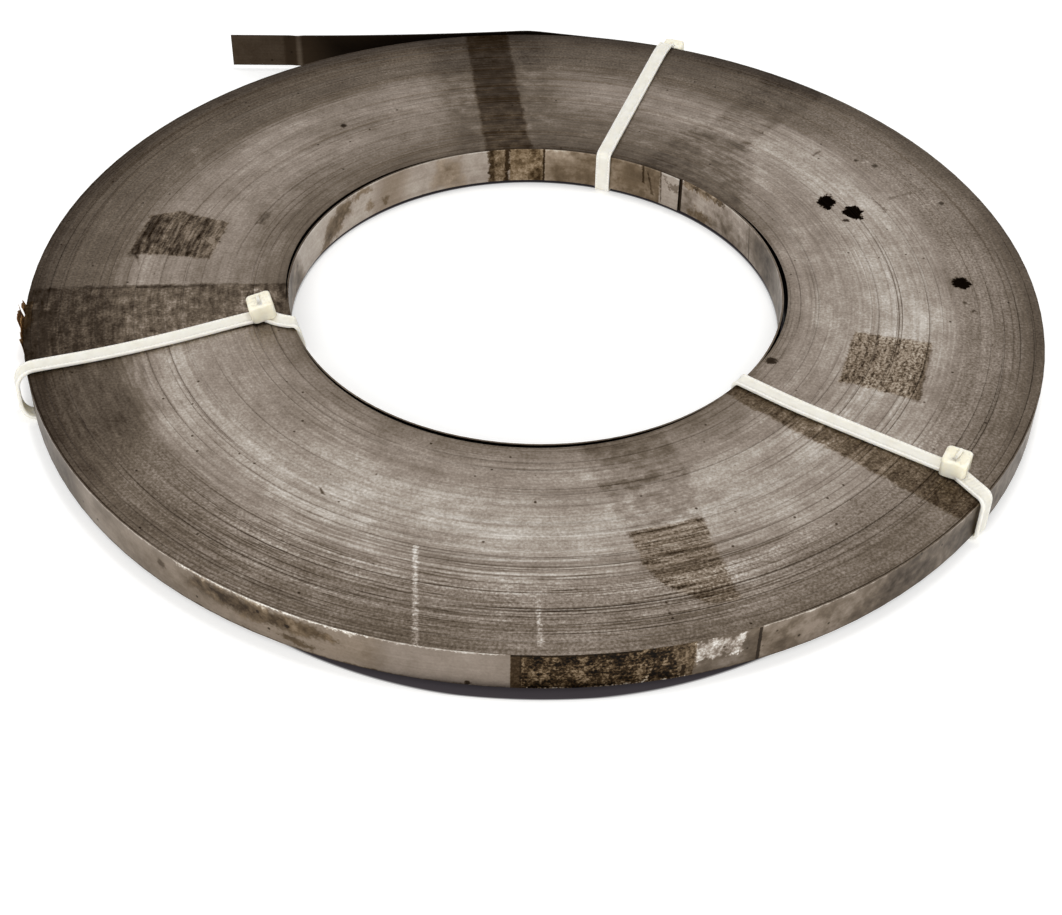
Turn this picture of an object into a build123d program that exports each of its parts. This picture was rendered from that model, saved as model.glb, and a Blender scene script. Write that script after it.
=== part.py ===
import os
from math import atan2, cos, degrees, radians, sin

from build123d import *

# Coil of narrow steel strip, lying flat and bound by three nylon cable ties.
# Millimetres and degrees. The coil's axis is Z, the floor is z = 0, and angles turn from +X towards +Y.

# The strip and its winding
strip_width = 12.7
strip_thickness = 0.51
bore_radius = 76.2
outer_radius = 156.0
inner_end_angle = 51.3

# Grooves between bundles of turns on both ends of the coil
groove_count = 8
groove_depth = 0.45
groove_sides = 4
coil_ends = 2

# The innermost turn stands loose of its neighbour between the ties
left_loose_first_angle = 112.0
left_loose_last_angle = 190.0
left_loose_gap = 1.1
front_loose_first_angle = 205.0
front_loose_last_angle = 315.0
front_loose_gap = 1.3
right_loose_first_angle = -31.0
right_loose_last_angle = 38.0
right_loose_gap = 1.1

# The strip's outer end springs off the coil in three runs with a bend and a crease
tail_leave_angle = 80.3
tail_first_run = 31.0
tail_middle_run = 87.0
tail_end_run = 24.5
tail_bend_turn = 14.8
tail_crease_turn = -3.5
tail_bow = 1.1

# The cable ties
strap_width = 4.8
strap_thickness = 1.2
strap_bend_radius = 1.5
tie_clearance = 0.2
rim_lap = 2.5

left_tie_angle = -161.7
left_tie_slack = 2.2
left_head_reach = 84.3
left_head_side = -5.6
left_head_angle = -2.0

right_tie_angle = -37.8
right_tie_slack = 0.6
right_head_reach = 144.2
right_head_side = 5.2
right_head_angle = 12.0

back_tie_angle = 72.8
back_tie_slack = 0.2
back_head_side = -2.6

# The ratchet head that each tie carries, with the cut end of the strap standing in its slot
head_length = 7.4
head_width = 7.4
head_height = 5.8
head_corner = 1.3
head_edge_radius = 0.6
slot_length = 2.6
slot_width = 5.4
slot_depth = 1.0
stub_low_height = 0.2
stub_high_height = 1.5

quarter_turn = 90.0
full_turn = 360.0
quarters = 4

# The straps run under the coil and lift it off the floor
coil_bottom = strap_thickness + tie_clearance
coil_top = coil_bottom + strip_width


def direction(angle):
    return Vector(cos(radians(angle)), sin(radians(angle)))


def wound_radius(angle):
    # Radius of the bore's wall: it grows by one thickness in an anticlockwise turn from the inner end
    return bore_radius + strip_thickness * ((angle - inner_end_angle) % full_turn) / full_turn


def spiral_turn(start_radius, start_angle):
    # One clockwise turn of a four-centre spiral: tangent quarter arcs that shrink by one thickness in all
    step = strip_thickness / quarters
    centre = direction(start_angle) * (step / 2)
    radius = start_radius - step / 2
    for quarter in range(quarters):
        angle = start_angle - quarter * quarter_turn
        CenterArc(centre, radius, angle, -quarter_turn)
        centre = centre + direction(angle - quarter_turn) * step
        radius = radius - step


def inner_corner(corner, heading_before, heading_after):
    # The corner on the strip's inner face that faces a corner of its outer face
    half_turn = (heading_after - heading_before) / 2
    inward = direction((heading_before + heading_after) / 2 + quarter_turn)
    return corner + inward * (strip_thickness / cos(radians(half_turn)))


# Corners of the tail on the strip's outer face, and the matching corners on its inner face
first_heading = tail_leave_angle + quarter_turn
middle_heading = first_heading + tail_bend_turn
end_heading = middle_heading + tail_crease_turn
leave_outer = direction(tail_leave_angle) * outer_radius
bend_outer = leave_outer + direction(first_heading) * tail_first_run
crease_outer = bend_outer + direction(middle_heading) * tail_middle_run
end_outer = crease_outer + direction(end_heading) * tail_end_run
leave_inner = inner_corner(leave_outer, first_heading, first_heading)
bend_inner = inner_corner(bend_outer, first_heading, middle_heading)
crease_inner = inner_corner(crease_outer, middle_heading, end_heading)
end_inner = inner_corner(end_outer, end_heading, end_heading)
bow = direction(middle_heading + quarter_turn) * tail_bow
middle_outer = (bend_outer + crease_outer) / 2 + bow
middle_inner = (bend_inner + crease_inner) / 2 + bow

# Where the innermost turn is loose: first angle, last angle, widest gap
loose_stretches = [
    (left_loose_first_angle, left_loose_last_angle, left_loose_gap),
    (front_loose_first_angle, front_loose_last_angle, front_loose_gap),
    (right_loose_first_angle, right_loose_last_angle, right_loose_gap),
]

# The coil: the wound strip as one body, with its tail
with BuildPart() as strip_coil:
    with BuildSketch(Plane.XY.offset(coil_bottom)):
        with BuildLine():
            spiral_turn(outer_radius, tail_leave_angle)
            Line(leave_inner, bend_inner)
            ThreePointArc(bend_inner, middle_inner, crease_inner)
            Line(crease_inner, end_inner)
            Line(end_inner, end_outer)
            Line(end_outer, crease_outer)
            ThreePointArc(crease_outer, middle_outer, bend_outer)
            Line(bend_outer, leave_outer)
        make_face()
        with BuildLine():
            spiral_turn(bore_radius + strip_thickness, inner_end_angle)
            inner_end = direction(inner_end_angle)
            Line(inner_end * bore_radius, inner_end * (bore_radius + strip_thickness))
        make_face(mode=Mode.SUBTRACT)
        for first_angle, last_angle, gap in loose_stretches:
            middle_angle = (first_angle + last_angle) / 2
            first = direction(first_angle) * (wound_radius(first_angle) + strip_thickness)
            last = direction(last_angle) * (wound_radius(last_angle) + strip_thickness)
            near = direction(middle_angle) * (wound_radius(middle_angle) + strip_thickness)
            far = direction(middle_angle) * (wound_radius(middle_angle) + strip_thickness + gap)
            with BuildLine():
                ThreePointArc(first, near, last)
                ThreePointArc(last, far, first)
            make_face(mode=Mode.SUBTRACT)
    extrude(amount=strip_width)
    # Turned V grooves between bundles of turns, on the upper and the lower end
    groove_pitch = (outer_radius - bore_radius) / (groove_count + 1)
    groove_middle = ((outer_radius + bore_radius) / 2, coil_bottom + strip_width / 2)
    with BuildSketch(Plane.XZ):
        with Locations(groove_middle):
            with GridLocations(groove_pitch, strip_width, groove_count, coil_ends):
                RegularPolygon(groove_depth, groove_sides)
    revolve(axis=Axis.Z, mode=Mode.SUBTRACT)

# The strap loop's inner faces lie just off the coil's ends and walls
loop_bottom = strap_thickness
loop_top = coil_top + tie_clearance
loop_outer = outer_radius + tie_clearance


def loop_inner(angle):
    return wound_radius(angle) - tie_clearance


def loop_outline(inner, outer, bottom, top, slack):
    # A loop round the coil's section, whose outer side bows off the wall
    middle = (bottom + top) / 2
    ThreePointArc((outer, bottom), (outer + slack, middle), (outer, top))
    Polyline((outer, top), (inner, top), (inner, bottom), (outer, bottom))


def strap_loop(angle, slack):
    inner = loop_inner(angle)
    reach = strap_thickness
    upright = Plane((0, 0, 0), x_dir=direction(angle), z_dir=direction(angle - quarter_turn))
    with BuildSketch(upright) as section:
        with BuildLine():
            loop_outline(inner - reach, loop_outer + reach, 0, loop_top + reach, slack)
        outline = make_face()
        fillet(outline.vertices(), strap_bend_radius)
        with BuildLine():
            loop_outline(inner, loop_outer, loop_bottom, loop_top, slack)
        make_face(mode=Mode.SUBTRACT)
    extrude(section.sketch, amount=strap_width / 2, both=True)


def strap_run(angle, start, end):
    # A flat run on the coil's upper end, from one radial and sideways place to another
    run = Vector(*end) - Vector(*start)
    middle = (Vector(*start) + Vector(*end)) / 2
    with BuildSketch(Plane.XY.rotated((0, 0, angle)).offset(loop_top)) as band:
        with Locations(middle):
            SlotCenterToCenter(run.length, strap_width, rotation=degrees(atan2(run.Y, run.X)))
    extrude(band.sketch, amount=strap_thickness)


def ratchet_head(seat):
    # A block with cut corners and a slot, out of which the strap's end stands, snipped at a slant
    with BuildSketch(seat) as block:
        Rectangle(head_length, head_width)
        chamfer(block.vertices(), head_corner)
    head = extrude(block.sketch, amount=head_height)
    fillet(head.faces().sort_by(Axis(seat.origin, seat.z_dir))[-1].edges(), head_edge_radius)
    with BuildSketch(seat.offset(head_height)) as slot:
        Rectangle(slot_length, slot_width)
    extrude(slot.sketch, amount=-slot_depth, mode=Mode.SUBTRACT)
    half = strap_width / 2
    with BuildSketch(Plane(seat.offset(head_height).origin, x_dir=seat.y_dir, z_dir=seat.x_dir)) as stub:
        with BuildLine():
            Polyline((-half, -slot_depth), (half, -slot_depth), (half, stub_low_height),
                     (-half, stub_high_height), close=True)
        make_face()
    extrude(stub.sketch, amount=strap_thickness / 2, both=True)


def top_headed_tie(angle, slack, head_reach, head_side, head_angle):
    # The head lies on the coil's upper end, pulled to one side of the loop and turned a little
    level = Plane.XY.rotated((0, 0, angle)).offset(loop_top)
    inner_lap = (loop_inner(angle) + rim_lap, 0)
    outer_lap = (loop_outer - rim_lap, 0)
    with BuildPart() as tie:
        strap_loop(angle, slack)
        with BuildSketch(level):
            with Locations(((inner_lap[0] + outer_lap[0]) / 2, 0)):
                Rectangle(outer_lap[0] - inner_lap[0], strap_width)
        extrude(amount=strap_thickness, mode=Mode.SUBTRACT)
        strap_run(angle, inner_lap, (head_reach, head_side))
        strap_run(angle, (head_reach, head_side), outer_lap)
        head_place = level.from_local_coords(Vector(head_reach, head_side))
        ratchet_head(Plane(head_place, x_dir=direction(angle + head_angle), z_dir=level.z_dir))
    return tie


def wall_headed_tie(angle, slack, head_side):
    # The head lies on the coil's outer wall, under the rim
    outward = direction(angle)
    foot = outward * loop_outer + direction(angle + quarter_turn) * head_side
    height = loop_top - head_length / 2
    with BuildPart() as tie:
        strap_loop(angle, slack)
        ratchet_head(Plane(foot + Vector(0, 0, height), x_dir=(0, 0, 1), z_dir=outward))
    return tie


cable_tie_left = top_headed_tie(
    left_tie_angle, left_tie_slack, left_head_reach, left_head_side, left_head_angle)
cable_tie_right = top_headed_tie(
    right_tie_angle, right_tie_slack, right_head_reach, right_head_side, right_head_angle)
cable_tie_back = wall_headed_tie(back_tie_angle, back_tie_slack, back_head_side)

strip_coil.part.label = "strip_coil"
cable_tie_left.part.label = "cable_tie_left"
cable_tie_right.part.label = "cable_tie_right"
cable_tie_back.part.label = "cable_tie_back"

os.makedirs("parts", exist_ok=True)
export_step(strip_coil.part, "parts/strip_coil.step")
export_step(cable_tie_left.part, "parts/cable_tie_left.step")
export_step(cable_tie_right.part, "parts/cable_tie_right.step")
export_step(cable_tie_back.part, "parts/cable_tie_back.step")
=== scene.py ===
import math

import bpy
import numpy as np
from mathutils import Matrix, Vector


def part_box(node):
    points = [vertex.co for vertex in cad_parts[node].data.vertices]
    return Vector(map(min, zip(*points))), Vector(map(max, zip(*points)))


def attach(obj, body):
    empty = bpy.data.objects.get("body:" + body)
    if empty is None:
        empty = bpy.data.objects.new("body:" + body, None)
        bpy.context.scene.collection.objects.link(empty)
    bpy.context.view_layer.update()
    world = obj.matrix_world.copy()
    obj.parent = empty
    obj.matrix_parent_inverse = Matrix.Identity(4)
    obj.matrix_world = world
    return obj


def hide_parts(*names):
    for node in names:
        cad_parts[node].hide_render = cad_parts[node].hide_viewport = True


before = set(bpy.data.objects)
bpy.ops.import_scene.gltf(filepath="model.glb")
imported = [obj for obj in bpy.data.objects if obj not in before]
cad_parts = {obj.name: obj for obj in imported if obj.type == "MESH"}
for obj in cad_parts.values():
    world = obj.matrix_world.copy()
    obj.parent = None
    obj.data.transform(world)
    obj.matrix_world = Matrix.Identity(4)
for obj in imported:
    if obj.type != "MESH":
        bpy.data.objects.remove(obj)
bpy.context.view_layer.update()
mm = 0.001
inMm = (1 / mm, 1 / mm, 1 / mm)  # turns Object coordinates to millimetres
flatInMm = (1 / mm, 1 / mm, 0)
mergesPerMm = 1e4  # points in the same ten-thousandth of a millimetre become one
rng = np.random.default_rng(23)
print("stage: frame loaded,", len(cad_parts), "nodes")


def linear(hexColour):  # sRGB hex to linear RGBA
    srgb = np.array([int(hexColour[k:k + 2], 16) for k in (1, 3, 5)]) / 255
    return (*np.where(srgb <= 0.04045, srgb / 12.92, ((srgb + 0.055) / 1.055) ** 2.4), 1.0)


def put(tree, kind, inputs, out=0, **settings):  # adds one node, sets or links its inputs, gives one output
    node = tree.nodes.new("ShaderNode" + kind)
    for key, value in settings.items():
        setattr(node, key, value)
    for key, value in inputs.items():
        if isinstance(value, bpy.types.NodeSocket):
            tree.links.new(value, node.inputs[key])
        else:
            node.inputs[key].default_value = value
    return node.outputs[out]


def startMaterial(name, constants):  # a Principled material with its constants on the shader's sockets
    material = bpy.data.materials.new(name)
    material.use_nodes = True
    shader = material.node_tree.nodes["Principled BSDF"]
    for key, value in constants.items():
        shader.inputs[key].default_value = value
    return material, material.node_tree, shader


def fillRamp(socket, stops):  # gives a colour ramp its stops: position, hex colour
    ramp = socket.node.color_ramp
    while len(ramp.elements) < len(stops):
        ramp.elements.new(1.0)
    for element, (position, colour) in zip(ramp.elements, stops):
        element.position = position
        element.color = linear(colour)
    return socket


# Surfaces as arrays
def sheetFaces(rows, columns, wrapColumns=False, flip=False):
    # quads between neighbours of a rows by columns grid; wrapped columns join the last to the first
    u, v = np.meshgrid(np.arange(rows - 1), np.arange(columns - (not wrapColumns)), indexing="ij")
    un, vn = u + 1, (v + 1) % columns
    corners = [u * columns + v, un * columns + v, un * columns + vn, u * columns + vn]
    quads = np.stack(corners, -1).reshape(-1, 4)
    return quads[:, ::-1] if flip else quads


def sheet(grid, slot=0, attributes=None, **faceSettings):  # part of a piece: a grid with its quads
    rows, columns = grid.shape[:2]
    return {"points": grid.reshape(-1, 3), "faces": sheetFaces(rows, columns, **faceSettings).tolist(),
            "slot": slot, "attributes": attributes or {}}


def cap(ring, slot=0, flip=False):  # part of a piece: one face round a ring of points
    order = list(range(len(ring)))
    return {"points": ring, "faces": [order[::-1] if flip else order], "slot": slot, "attributes": {}}


def makePiece(name, parts, materials, creaseAngle, attributeNames=()):
    # joins parts into one mesh in metres, merges points that coincide, shades smooth up to the crease angle
    points = np.concatenate([part["points"] for part in parts])
    starts = np.cumsum([0] + [len(part["points"]) for part in parts])
    keys = np.round(points * mergesPerMm).astype(np.int64)
    unused, first, merged = np.unique(keys, axis=0, return_index=True, return_inverse=True)
    merged = merged.reshape(-1)
    faces, slots = [], []
    for part, start in zip(parts, starts):
        lists = part["faces"]
        if len(lists[0]) == 4:
            lists = merged[np.array(lists) + start].tolist()
        else:
            lists = [merged[np.array(face) + start].tolist() for face in lists]
        faces += lists
        slots += [part["slot"]] * len(lists)
    mesh = bpy.data.meshes.new(name)
    mesh.from_pydata((points[first] * mm).tolist(), [], faces)
    for material in materials:
        mesh.materials.append(material)
    mesh.polygons.foreach_set("material_index", slots)
    for key in attributeNames:
        values = [part["attributes"].get(key, np.zeros(len(part["points"]))) for part in parts]
        values = np.concatenate(values)[first].astype(np.float32)
        mesh.attributes.new(key, "FLOAT", "POINT").data.foreach_set("value", values)
    mesh.shade_smooth()
    mesh.set_sharp_from_angle(angle=math.radians(creaseAngle))
    mesh.update()
    piece = bpy.data.objects.new(name, mesh)
    bpy.context.scene.collection.objects.link(piece)
    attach(piece, "root")
    triangles = sum(len(face) - 2 for face in faces)
    print("stage:", name, len(mesh.vertices), "points,", triangles, "triangles")
    return piece


def polar(radius, angle):  # x and y of polar places, angles in degrees
    return np.stack([radius * np.cos(np.radians(angle)), radius * np.sin(np.radians(angle))], -1)


def wander(count, knotSteps):  # smooth random values with a knot every so many steps, about unit spread
    place = np.arange(count) / knotSteps
    knots = rng.standard_normal(int(place[-1]) + 2)
    low = place.astype(int)
    share = place - low
    share = share * share * (3 - 2 * share)
    return knots[low] * (1 - share) + knots[low + 1] * share


def smoothStep(low, high, value):  # 0 at low, 1 at high, a smooth cubic between
    share = np.clip((value - low) / (high - low), 0, 1)
    return share * share * (3 - 2 * share)


# Stains: patches with straight edges between listed corners, dots, and bands across a wall
def patch(name, corners, **looks):
    return {"name": name, "corners": corners, **looks}


def dot(name, middle, radius, **looks):
    return {"name": name, "middle": middle, "radius": radius, **looks}


def band(name, angles, heights=(0, 15), **looks):  # 0 to 15 mm takes in the whole wall
    (first, last), (low, high) = angles, heights
    return patch(name, [(first, low), (last, low), (last, high), (first, high)], **looks)


stainLook = {"ragged": ("rag", "fray"),  # coarse and fine raggedness of a border
             "mottled": ("grain", "blotch", "streak", "smear", "speck", "haze"),  # noises inside a stain
             "dirtLimit": 0.95}  # dirt never brightens


def stainColour(tree, tone, spot, noises, stains, lay):
    # tone times each stain's own tone inside it, then its colour from clean and brown steel; the depth inside
    # a patch is the least distance to its edges; lay turns a stain's two coordinates to those of the spot
    brown = 0.0
    for stain in stains:
        if "middle" in stain:
            middle = (*lay(*stain["middle"]), 1.0)
            away = put(tree, "VectorMath", {0: spot, 1: middle}, "Value", operation="DISTANCE")
            depth = put(tree, "Math", {0: stain["radius"], 1: away}, operation="SUBTRACT")
        else:
            corners = np.array([lay(*corner) for corner in stain["corners"]])
            following = np.roll(corners, -1, 0)
            turn = np.sign(np.sum(corners[:, 0] * following[:, 1] - corners[:, 1] * following[:, 0]))
            along = (following - corners) / np.linalg.norm(following - corners, axis=1)[:, None] * turn
            inward = np.stack([-along[:, 1], along[:, 0]], -1)
            depth = None
            for normal, corner in zip(inward, corners):
                edge = (*normal, -float(normal @ corner))
                inside = put(tree, "VectorMath", {0: spot, 1: edge}, "Value", operation="DOT_PRODUCT")
                if depth is not None:
                    inside = put(tree, "Math", {0: depth, 1: inside}, operation="MINIMUM")
                depth = inside
        for key in stainLook["ragged"]:
            if key in stain:
                swing = {0: noises[key], 1: 2 * stain[key]}
                depth = put(tree, "Math", {**swing, 2: depth}, operation="MULTIPLY_ADD")
        inner = stain["tone"]
        for key in stainLook["mottled"]:
            if key in stain:
                swing = {0: noises[key], 1: 2 * stain[key]}
                inner = put(tree, "Math", {**swing, 2: inner}, operation="MULTIPLY_ADD")
        if stain["tone"] < 1:
            inner = put(tree, "Math", {0: inner, 1: stainLook["dirtLimit"]}, operation="MINIMUM")
        border = {0: depth, 1: -stain["soft"], 2: stain["soft"]}
        factor = put(tree, "MapRange", {**border, 3: 1.0, 4: inner}, interpolation_type="SMOOTHSTEP")
        tone = put(tree, "Math", {0: tone, 1: factor}, operation="MULTIPLY", label=stain["name"])
        if "brown" in stain:
            span = {**border, 3: 0.0, 4: stain["brown"]}
            share = put(tree, "MapRange", span, interpolation_type="SMOOTHSTEP")
            brown = put(tree, "Math", {0: brown, 1: share}, operation="MAXIMUM")
    clean = fillRamp(put(tree, "ValToRGB", {0: tone}), steelRamp)
    stained = fillRamp(put(tree, "ValToRGB", {0: tone}), brownRamp)
    return tone, put(tree, "Mix", {"Factor": brown, "A": clean, "B": stained}, "Result", data_type="RGBA")


# Steps that the two steels share
def steelNoises(tree, look, places):  # noises about zero; places give vector, scale, detail
    noises = {}
    for key, (vector, scale, detail) in places.items():
        raw = put(tree, "TexNoise", {"Vector": vector, "Scale": scale, "Detail": detail,
                                     "Roughness": look["noiseRoughness"]})
        noises[key] = put(tree, "Math", {0: raw, 1: 0.5}, operation="SUBTRACT")
    return noises


def shiftedTone(tree, tone, shifts):  # tone times one plus each value times its depth
    for value, depth in shifts:
        factor = put(tree, "Math", {0: value, 1: depth, 2: 1.0}, operation="MULTIPLY_ADD")
        tone = put(tree, "Math", {0: tone, 1: factor}, operation="MULTIPLY")
    return tone


def finishSteel(tree, shader, look, tone, colour, relief):  # colour, rougher where dirty, fine relief
    tree.links.new(colour, shader.inputs["Base Color"])
    (dirt, steel), (dirtRough, steelRough) = look["roughTones"], look["roughness"]
    rough = put(tree, "MapRange", {0: tone, 1: dirt, 2: steel, 3: dirtRough, 4: steelRough})
    tree.links.new(rough, shader.inputs["Roughness"])
    bump = put(tree, "Bump", {"Height": relief, "Strength": look["bumpStrength"],
                              "Distance": look["bumpHeight"] * mm})
    tree.links.new(bump, shader.inputs["Normal"])


# tone from oiled dirt up to bare steel: position, colour
steelRamp = [(0.0, "#0d0906"), (0.22, "#382d22"), (0.41, "#695d50"), (0.57, "#91857a"), (0.65, "#a69c91"),
             (0.8, "#ccc6be"), (1.0, "#f0ede8")]
brownRamp = [(0.0, "#0b0602"), (0.22, "#3a2913"), (0.41, "#6c5637"), (0.57, "#967f5e"),
             (0.8, "#cfc0a4"), (1.0, "#efe5d0")]


# Steel: the strip's slit edges, on the coil's two ends
edgeLook = {
    # noises: length along the turns, width across them, detail
    "arcs": {"streak": (13.0, 0.45, 2.0), "cloud": (38.0, 9.0, 4.0), "smear": (9.0, 1.5, 3.0),
             "fleck": (2.6, 0.9, 1.0)},
    # noises: size, detail
    "spots": {"rag": (5.0, 4.0), "fray": (1.2, 2.0), "grain": (0.8, 2.0), "blotch": (4.0, 3.0),
              "haze": (20.0, 4.0)},
    # how far each one shifts the tone
    "depths": {"cloud": 0.22, "haze": 0.22, "blotch": 0.16, "streak": 0.1, "smear": 0.05},
    "grainDepths": (0.26, 0.5), "grainBorder": (128, 134),  # inside and outside of the wiped zone
    "turnDepth": 0.085, "gapDark": 0.4, "lineDark": 0.5,
    "lineSpan": (0.02, 0.24), "fleckSpan": (0.0, 0.16),  # noise where a line or fleck starts and is whole
    "speckCell": 7.0, "speckSize": 0.5, "speckTone": 0.45,  # mm, mm, share of the tone
    "noiseRoughness": 0.6, "bumpStrength": 0.3, "bumpHeight": 0.04,
    "roughTones": (0.2, 0.7), "roughness": (0.56, 0.4),  # of dirt and of bare steel
    "mirrorTones": (0.03, 0.2),  # thick oil mirrors less at a slant than bare steel
}
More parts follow.
